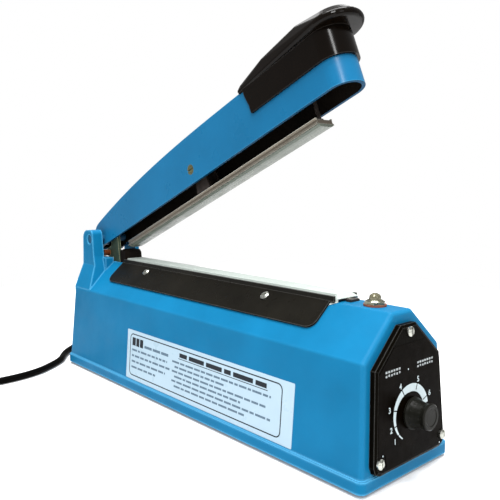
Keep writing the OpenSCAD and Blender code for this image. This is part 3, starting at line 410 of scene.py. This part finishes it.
# The coil: a lower layer wound inwards, then an upper one wound outwards to the plug.
# COIL_R is the radius at the middle of its turns, and TOP_OUT that where the upper layer ends.
COIL = Vector((-0.184, -0.140, 0))
TURNS, TURN_STEPS, CLIMB_STEPS = 3, 26, 7
COIL_R = 0.030
COIL_OUT = COIL_R + TURNS * CORD_R
COIL_IN = COIL_R - TURNS * CORD_R
TOP_OUT = 0.0380
LOW_Z = 0.0036
HIGH_Z = LOW_Z + 2 * CORD_R
# The last stretch, from the coil into the plug, in millimetres
tail = [(-188.5, -178, 8.8), (-192.5, -178, 8), (-196.5, -178, 7.1)]


def coil_point(step, r, z):
    """Point on the coil, TURN_STEPS of them to a turn."""
    a = 2 * math.pi * step / TURN_STEPS
    return (COIL.x + r * math.cos(a), COIL.y - r * math.sin(a), z)


def in_metres(points):
    """The same points, from millimetres to metres."""
    return [tuple(c * MM for c in p) for p in points]


relief_path = [tuple(EXIT - Vector((RELIEF_L * k / STRAIGHT_STEPS, 0, 0)))
               for k in range(STRAIGHT_STEPS + 1)]
for k in range(1, BEND_STEPS + 1):
    a = RELIEF_ARC * k / BEND_STEPS
    relief_path.append((REAR_X - RELIEF_L - RELIEF_BEND * math.sin(a),
                        EXIT_Y - RELIEF_BEND * (1 - math.cos(a)), EXIT_Z))
lower = [coil_point(i, COIL_OUT - 2 * CORD_R * i / TURN_STEPS, LOW_Z)
         for i in range(TURNS * TURN_STEPS + 1)]
climb = []
for i in range(1, CLIMB_STEPS + 1):
    risen = (1 - math.cos(math.pi * i / CLIMB_STEPS)) / 2
    climb.append(coil_point(i, COIL_IN, LOW_Z + (HIGH_Z - LOW_Z) * risen))
top_steps = TURNS * TURN_STEPS - CLIMB_STEPS + TURN_STEPS // 4
upper = [coil_point(CLIMB_STEPS + i, COIL_IN + (TOP_OUT - COIL_IN) * i / top_steps, HIGH_Z)
         for i in range(1, top_steps + 1)]
path = relief_path + in_metres(route) + lower + climb + upper + in_metres(tail)
fine_path = smooth_curve(path, steps=3)
cord = tube("mains_lead", fine_path, CORD_R, sides=16, look=rubber_black)
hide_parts("power_cord", "cord_coil")

# ---------------------------------------------------------------- moulded cord relief
# The sleeve tapers from SLEEVE_R, and past PLAIN_PART of its length it is ribbed
SLEEVE_R, SLEEVE_END_R, PLAIN_PART = 0.0048, 0.0035, 0.3
RIB_DEPTH, RIB_STEPS = 0.0006, 3
FLANGE_R, FLANGE_T = 0.0066, 0.0016

sleeve_path = smooth_curve(relief_path, steps=8)
radii = []
for i in range(len(sleeve_path)):
    t = i / (len(sleeve_path) - 1)
    groove = RIB_DEPTH if t > PLAIN_PART and (i // RIB_STEPS) % 2 else 0
    radii.append(SLEEVE_R + (SLEEVE_END_R - SLEEVE_R) * t - groove)
sleeve = tube("relief_sleeve", sleeve_path, radii, sides=24, look=rubber_black)
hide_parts("strain_relief")
wall_out = Vector((-math.cos(END_TILT), 0, math.sin(END_TILT)))
wall_up = Vector((math.sin(END_TILT), 0, math.cos(END_TILT)))
flange_at = Vector((BODY_X - END_X + END_DRAFT * (EXIT_Z - FOOT_H), EXIT_Y, EXIT_Z))
flange_profile = [(0, 0), (FLANGE_R, 0), (FLANGE_R, 0.001), (0.0060, 0.0015), (0.0046, FLANGE_T),
                  (0, FLANGE_T)]
flange = turned("relief_flange", flange_profile, basis(flange_at, (0, 1, 0), wall_up, wall_out),
                sides=32, look=rubber_black)

# ---------------------------------------------------------------- prints on the knob end
# Millimetres. FILM is just off the dial film's face, measured from the end wall, and the prints
# lie above it by PRINT_T, NUMBER_T or TICK_T. DIAL_Z is the height of the knob's axis.
FILM = 4.24
PRINT_T, NUMBER_T, TICK_T = 0.03, 0.04, 0.05
DIAL_Z = 33.5
END_OUT = Vector((math.cos(END_TILT), 0, math.sin(END_TILT)))
END_UP = Vector((-math.sin(END_TILT), 0, math.cos(END_TILT)))
END_FOOT = Vector((BODY_X + END_X, 0, FOOT_H))


def on_end(y, z, lift):
    """Point on the knob end: y across, z up the wall, lift out of it; all in mm."""
    return END_FOOT + END_UP * (z * MM) + END_OUT * (lift * MM) + Vector((0, y * MM, 0))


def bars(name, rows, look, lift, to_world):
    """Many small printed bars as one piece: each row is (x0, x1, middle z, height)."""
    verts, faces = [], []
    for x0, x1, z, h in rows:
        k = len(verts)
        verts += [to_world(x0, z - h / 2, lift), to_world(x1, z - h / 2, lift),
                  to_world(x1, z + h / 2, lift), to_world(x0, z + h / 2, lift)]
        faces.append((k, k + 1, k + 2, k + 3))
    return new_mesh(name, verts, faces, look, smooth=False)


# A crescent that widens clockwise round the knob, to its full width at CRESCENT_FULL of the way
CRESCENT_FROM, CRESCENT_TO = math.radians(238), math.radians(7)
CRESCENT_Y, CRESCENT_Z = -0.7, DIAL_Z + 0.8
CRESCENT_R, CRESCENT_FLAT = 15.9, 0.94
CRESCENT_THIN, CRESCENT_GAIN, CRESCENT_FULL = 0.6, 3.9, 0.62
CRESCENT_STEPS = 40


def crescent_point(a, r):
    """Point at an angle and radius on the crescent, which is flattened a little in height."""
    return on_end(CRESCENT_Y + r * math.cos(a), CRESCENT_Z + CRESCENT_FLAT * r * math.sin(a),
                  FILM + PRINT_T)


outer, inner = [], []
for i in range(CRESCENT_STEPS + 1):
    t = i / CRESCENT_STEPS
    a = CRESCENT_FROM + (CRESCENT_TO - CRESCENT_FROM) * t
    width = CRESCENT_THIN + CRESCENT_GAIN * min(1, t / CRESCENT_FULL)
    outer.append(crescent_point(a, CRESCENT_R))
    inner.append(crescent_point(a, CRESCENT_R - width))
gap = len(outer)
faces = [(i, i + 1, gap + i + 1, gap + i) for i in range(CRESCENT_STEPS)]
new_mesh("dial_scale", outer + inner, faces, white_ink, smooth=False)

# Ticks across the crescent, and a number beyond each: (degrees, number, radius of the number)
marks = [(219, "1", 19.5), (197, "2", 19.0), (165, "3", 19.8), (121, "4", 17.9), (67, "5", 17.6),
         (20, "6", 18.6)]
MARKS_Y, MARKS_Z = -0.5, DIAL_Z + 0.6
TICK_IN, TICK_OUT, TICK_HALF = 11.8, 16.0, 0.3
NUMBER_SIZE, NUMBER_EXTRUDE, NUMBER_BOLD = 0.0042, 0.00003, 0.00006


def on_marks(deg, r, s, lift):
    """Point at an angle and radius on the marks' circle, s further round it."""
    a = math.radians(deg)
    return on_end(MARKS_Y + r * math.cos(a) - s * math.sin(a),
                  MARKS_Z + r * math.sin(a) + s * math.cos(a), lift)


verts, faces = [], []
for deg, _, _ in marks:
    k = len(verts)
    for r, s in ((TICK_IN, -TICK_HALF), (TICK_IN, TICK_HALF), (TICK_OUT, TICK_HALF),
                 (TICK_OUT, -TICK_HALF)):
        verts.append(on_marks(deg, r, s, FILM + TICK_T))
    faces.append((k, k + 1, k + 2, k + 3))
new_mesh("dial_ticks", verts, faces, film_black, smooth=False)
for deg, number, reach in marks:
    text = bpy.data.curves.new("dial_number_" + number, "FONT")
    text.body = number
    text.size = NUMBER_SIZE
    text.extrude = NUMBER_EXTRUDE
    text.offset = NUMBER_BOLD
    text.align_x, text.align_y = "CENTER", "CENTER"
    text.materials.append(white_ink)
    o = add_object("dial_number_" + number, text)
    o.matrix_world = basis(on_marks(deg, reach, 0, FILM + NUMBER_T), (0, 1, 0), END_UP, END_OUT)
    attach(o, "base")

# Two rows of generic strokes on each side of the panel's middle, and three dots
STROKE_PITCH, STROKE_L, STROKE_H = 2.25, 1.6, 1.1
UPPER_Z, LOWER_Z = 59.3, 57.2
UNEVEN = 0.1
DOT = 0.8
strokes = []
for first, count in ((-22.3, 6), (5.8, 7)):
    for i in range(count):
        y = first + STROKE_PITCH * i
        strokes.append((y, y + STROKE_L, UPPER_Z, STROKE_H))
        strokes.append((y + UNEVEN * (i % 3), y + STROKE_L - 2 * UNEVEN,
                        LOWER_Z + 2 * UNEVEN * (i % 2), STROKE_H))
bars("panel_marks", strokes, dim_ink, FILM + PRINT_T, on_end)
dots = [(y - DOT / 2, y + DOT / 2, z, DOT) for y, z in ((-26.2, 17.6), (26, 10.2), (-2.4, 57.4))]
bars("panel_dots", dots, white_ink, FILM + PRINT_T, on_end)

# ---------------------------------------------------------------- information label
# Millimetres from the middle of the body and up its near side wall
LABEL_LIFT = 0.24
LABEL_X0, LABEL_X1, LABEL_Z0, LABEL_Z1 = -65, 110, 7.7, 44.7
# How far inside the label its border lies
INSET_LEFT, INSET_RIGHT, INSET_LOW, INSET_TOP = 4, 9, 3, 2.4
# Places and sizes up the label: its heading, the rule under that, the mark and the title beside
# it, and the first line of each column
HEADING_Z, RULE_Z, MARK_Z = LABEL_Z1 - 6.6, LABEL_Z1 - 9.1, LABEL_Z1 - 8.2
TITLE_Z, LEFT_Z, RIGHT_Z = LABEL_Z1 - 9.6, LABEL_Z1 - 14.5, LABEL_Z1 - 12.2
HEADING_H, RULE_H, MARK_H, TITLE_H, LEFT_H, RIGHT_H = 2.9, 0.45, 6, 1.9, 1.5, 1.35
LEFT_X, LEFT_PITCH, RIGHT_PITCH = -58, 4.3, 3.35
# How far the columns' lines reach: the right ends of the left ones, both ends of the right ones
LEFT_ENDS = (-12, -8, -14, -26)
RIGHT_ENDS = ((-6, 92), (-3, 50), (-6, 88), (-3, 66), (-6, 94), (-3, 72))
CORNER_STEPS = 6
# Uneven lengths for the strokes: each number follows from the last, and stays below CYCLE
STRIDE, OFFSET, CYCLE = 37, 11, 101
SHORTEST = 0.45


def on_side(x, z, lift):
    """Point on the near side wall: x along the body, z up the wall, lift out of it; all in mm."""
    return Vector((BODY_X + x * MM,
                   -SIDE_Y + (z * math.sin(SIDE_TILT) - lift * math.cos(SIDE_TILT)) * MM,
                   FOOT_H + (z * math.cos(SIDE_TILT) - lift * math.sin(SIDE_TILT)) * MM))


def round_frame(name, x0, x1, z0, z1, r, line, look):
    """A printed line round a rectangle with corners of radius r."""
    outer, inner = [], []
    for cx, cz, quarter in ((x1 - r, z1 - r, 0), (x0 + r, z1 - r, 90), (x0 + r, z0 + r, 180),
                            (x1 - r, z0 + r, 270)):
        for k in range(CORNER_STEPS + 1):
            a = math.radians(quarter + 90 * k / CORNER_STEPS)
            outer.append((cx + r * math.cos(a), cz + r * math.sin(a)))
            inner.append((cx + (r - line) * math.cos(a), cz + (r - line) * math.sin(a)))
    n = len(outer)
    verts = [on_side(x, z, LABEL_LIFT) for x, z in outer + inner]
    faces = [(i, (i + 1) % n, n + (i + 1) % n, n + i) for i in range(n)]
    return new_mesh(name, verts, faces, look, smooth=False)


def words(x0, x1, z, h, seed, word, gap):
    """A row of generic printed strokes between x0 and x1: their lengths follow from seed."""
    rows = []
    x = x0
    k = seed
    while x < x1 - 1:
        k = (k * STRIDE + OFFSET) % CYCLE
        width = min(word * (SHORTEST + k / CYCLE), x1 - x)
        rows.append((x, x + width, z, h))
        x += width + gap
    return rows


round_frame("label_border", LABEL_X0 + INSET_LEFT, LABEL_X1 - INSET_RIGHT, LABEL_Z0 + INSET_LOW,
            LABEL_Z1 - INSET_TOP, r=4, line=0.75, look=ink)
heading = words(2, 88, HEADING_Z, HEADING_H, seed=3, word=13, gap=2.2)
bars("label_heading", heading, ink, LABEL_LIFT, on_side)
bars("label_rule", [(1, 89, RULE_Z, RULE_H)], ink, LABEL_LIFT, on_side)
blocks = [(x0, x1, MARK_Z, MARK_H)
          for x0, x1 in ((LEFT_X, -53.5), (-52.6, -48.6), (-47.6, -43.4))]
bars("label_mark", blocks, ink, LABEL_LIFT, on_side)
lines = words(-41.5, -10, TITLE_Z, TITLE_H, seed=5, word=7, gap=1.2)
for i, x1 in enumerate(LEFT_ENDS):
    lines += words(LEFT_X, x1, LEFT_Z - LEFT_PITCH * i, LEFT_H, seed=7 + i, word=6, gap=1.2)
for i, (x0, x1) in enumerate(RIGHT_ENDS):
    lines += words(x0, x1, RIGHT_Z - RIGHT_PITCH * i, RIGHT_H, seed=13 + i, word=6.2, gap=1.1)
bars("label_text", lines, grey_ink, LABEL_LIFT, on_side)

# ---------------------------------------------------------------- lift spring
# Its ends inside the body, then its coils, which start EYE_L from each end
SPRING_Y = -0.00575
SPRING_REAR = Vector((BODY_X - 0.1216, SPRING_Y, 0.0766))
SPRING_FRONT = Vector((BODY_X - 0.0828, SPRING_Y, 0.0700))
COILS, COIL_STEPS = 17, 14
SPRING_R, SPRING_WIRE_R, EYE_L, EYE_STEP = 0.0029, 0.0005, 0.006, 0.002

axis = (SPRING_FRONT - SPRING_REAR).normalized()
across = axis.orthogonal().normalized()
over = axis.cross(across)
coiled_l = (SPRING_FRONT - SPRING_REAR).length - 2 * EYE_L
spring_path = [SPRING_REAR + axis * EYE_STEP * k for k in (1, 2)]
for i in range(COILS * COIL_STEPS + 1):
    t = i / (COILS * COIL_STEPS)
    a = 2 * math.pi * COILS * t
    spring_path.append(SPRING_REAR + axis * (EYE_L + coiled_l * t)
                       + SPRING_R * (math.cos(a) * across + math.sin(a) * over))
spring_path += [SPRING_FRONT - axis * EYE_STEP * k for k in (2, 1)]
spring = tube("lift_spring_coils", spring_path, SPRING_WIRE_R, sides=6, look=zinc)
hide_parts("lift_spring")

# ---------------------------------------------------------------- painted shade on the faces inside and under the arm
# Millimetres in the arm's frame: u along it and w square to it, from the hinge axis.
# Its crown rises from the knuckle to CROWN_W at CROWN_U.
CROWN_U, CROWN_W, CROWN_FALL, CROWN_RUN, CROWN_POWER = 185, 27.6, 13, 188, 2.4
# Inside faces lie within these: side walls, top wall, knuckle, rounded tip and lower edge
SIDE_LIMIT, TOP_LIMIT, KNUCKLE_LIMIT, EDGE_LIMIT = 10.9, 1.3, 13.4, -5.3
TIP_FROM, TIP_U, TIP_LIMIT = 265, 272, 11.2
# The faces of its lower edge look down: the w of their normal is below DOWN. They take a darker blue,
# a painted shade.
DOWN = -0.95

HINGE = center("hinge_pin")
HINGE.y = 0
ARM_U = Vector((math.cos(ARM_ANGLE), 0, math.sin(ARM_ANGLE)))
ARM_W = Vector((-math.sin(ARM_ANGLE), 0, math.cos(ARM_ANGLE)))


def inside_arm(u, y, w):
    """Whether a place in the arm's frame is on one of its inside faces, which take a painted shade.
    """
    crown = CROWN_W - CROWN_FALL * (max(0, CROWN_U - u) / CROWN_RUN) ** CROWN_POWER
    in_walls = abs(y) < SIDE_LIMIT and EDGE_LIMIT <= w < crown - TOP_LIMIT
    in_knuckle = u >= 0 or math.hypot(u, w) <= KNUCKLE_LIMIT
    in_tip = u <= TIP_FROM or math.hypot(u - TIP_U, y) <= TIP_LIMIT
    return in_walls and in_knuckle and in_tip


arm = nodes["arm_shell"]
arm.data.materials.append(arm_edge_shade)
arm.data.materials.append(inside_shade_and_dark_cover)
edge_shade_slot = len(arm.data.materials) - 2
inside_shade_slot = len(arm.data.materials) - 1
# Inside faces are coloured near black: painted shade
for p in arm.data.polygons:
    v = arm.matrix_world @ p.center - HINGE
    if inside_arm(v.dot(ARM_U) / MM, v.y / MM, v.dot(ARM_W) / MM):
        p.material_index = inside_shade_slot
    # Downward faces of the lower edge: painted shade
    elif (arm.matrix_world.to_3x3() @ p.normal).dot(ARM_W) < DOWN:
        p.material_index = edge_shade_slot

# ---------------------------------------------------------------- bevels on the CAD pieces
# Width and segments of each piece's rounded edges; an edge sharper than SHARP is rounded
BEVELS = {
    "arm_shell": (0.0012, 3), "handle_cover": (0.0012, 3), "front_panel": (0.0006, 2),
    "clamp_strip_near": (0.0004, 2), "clamp_strip_far": (0.0004, 2), "terminal_cover": (0.0006, 2),
    "lift_lever": (0.0003, 2), "press_bar": (0.0002, 1), "timer_knob": (0.0003, 2),
    "plug_body": (0.0008, 2), "body_shell": (0.0008, 2),
}
SHARP = math.radians(32)
for name, (width, segments) in BEVELS.items():
    bevel = nodes[name].modifiers.new("soft_edges", "BEVEL")
    bevel.width = width
    bevel.segments = segments
    bevel.limit_method = "ANGLE"
    bevel.angle_limit = SHARP
    bevel.harden_normals = False
for name in LOOKS:
    for p in nodes[name].data.polygons:
        p.use_smooth = True
    weighted = nodes[name].modifiers.new("edge_normals", "WEIGHTED_NORMAL")
    weighted.keep_sharp = True

# ---------------------------------------------------------------- floor
FLOOR_SIZE, FLOOR_DROP, FLOOR_GLOW = 1.2, 0.0002, 0.15
bpy.ops.mesh.primitive_plane_add(size=FLOOR_SIZE, location=(0, 0, -FLOOR_DROP))
floor = bpy.context.object
floor.name = "floor"
floor.data.materials.append(floor_white)
# The floor gives a little light of its own, so that it is as white as the photo's background
shader = next(n for n in floor_white.node_tree.nodes if n.type == "BSDF_PRINCIPLED")
shader.inputs["Emission Color"].default_value = (1, 1, 1, 1)
shader.inputs["Emission Strength"].default_value = FLOOR_GLOW

# ---------------------------------------------------------------- light


def area(name, place, target, size, power):
    """A rectangular light that faces its target; size is (width, height) in metres."""
    light = bpy.data.lights.new(name, "AREA")
    light.shape = "RECTANGLE"
    light.size, light.size_y = size
    light.energy = power
    o = add_object(name, light)
    o.location = place
    o.rotation_euler = (Vector(target) - Vector(place)).to_track_quat("-Z", "Y").to_euler()


# Name, place, target, size, and power in watts
area("overhead", (0.05, -0.05, 1.35), (0, 0, 0.08), (1.0, 0.7), 35)
area("strip", (0.686, -0.682, 1.04), (0.115, 0, 0.23), (0.15, 0.7), 14)
area("window", (1.3, -0.35, 0.55), (0.1, 0, 0.12), (0.25, 0.7), 2.2)
area("rim", (-1.0, 0.9, 1.1), (0, 0, 0.1), (0.9, 0.6), 3)

# The world is white where the camera sees it, and half as bright as a light
WORLD_LIGHT, WORLD_SEEN = 0.5, 1.0
world = bpy.data.worlds.new("studio")
scene.world = world
world.use_nodes = True
tree = world.node_tree
background = tree.nodes["Background"]
background.inputs["Color"].default_value = (1, 1, 1, 1)
level = tree.nodes.new("ShaderNodeMapRange")
level.inputs["To Min"].default_value = WORLD_LIGHT
level.inputs["To Max"].default_value = WORLD_SEEN
seen = tree.nodes.new("ShaderNodeLightPath")
tree.links.new(seen.outputs["Is Camera Ray"], level.inputs["Value"])
tree.links.new(level.outputs["Result"], background.inputs["Strength"])
scene.view_settings.view_transform = "Standard"
